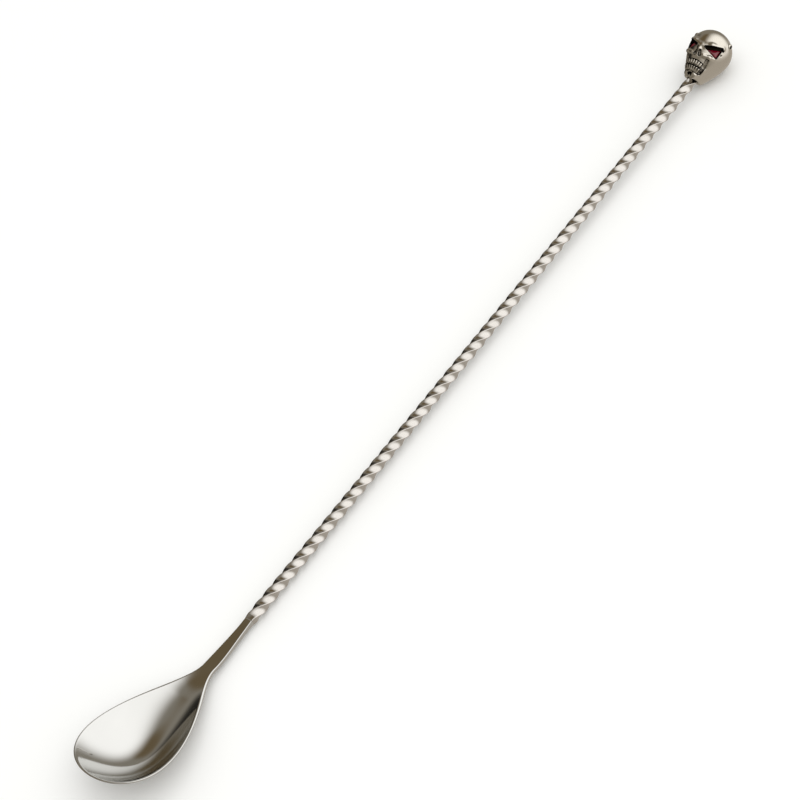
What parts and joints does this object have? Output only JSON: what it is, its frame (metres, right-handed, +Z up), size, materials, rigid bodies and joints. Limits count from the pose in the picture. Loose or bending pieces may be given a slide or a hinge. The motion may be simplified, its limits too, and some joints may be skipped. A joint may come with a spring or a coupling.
{
  "type": "bar spoon",
  "caption": "Long bar spoon with a teardrop bowl, a twisted square shaft and a cast skull finial with red stone eyes.",
  "frame": {"origin": "middle of the spoon's footprint, on the surface on which it lies, on the underside of its bowl and the back of its skull", "axes": "+X from the bowl to the skull, +Z up, the side on which the bowl is open and to which the skull faces, +Y across"},
  "size_m": [0.336, 0.0292, 0.016],
  "materials": {
    "bowl_steel": "mirror polished 18/8 stainless steel",
    "weld_steel": "ground and polished weld",
    "shaft_steel": "barrel polished twisted stainless bar",
    "adhesive": "cured dark epoxy",
    "antiqued_casting": "polished casting, blackened in its recesses",
    "red_glass": "polished dark red glass"
  },
  "bodies": {
    "root": {"bowl": "bowl_steel", "neck_weld": "weld_steel", "twisted_shaft": "shaft_steel", "tenon_adhesive": "adhesive", "skull_finial": "antiqued_casting", "left_eye_stone": "red_glass", "right_eye_stone": "red_glass", "left_eye_cement": "adhesive", "right_eye_cement": "adhesive"}
  },
  "joints": []
}
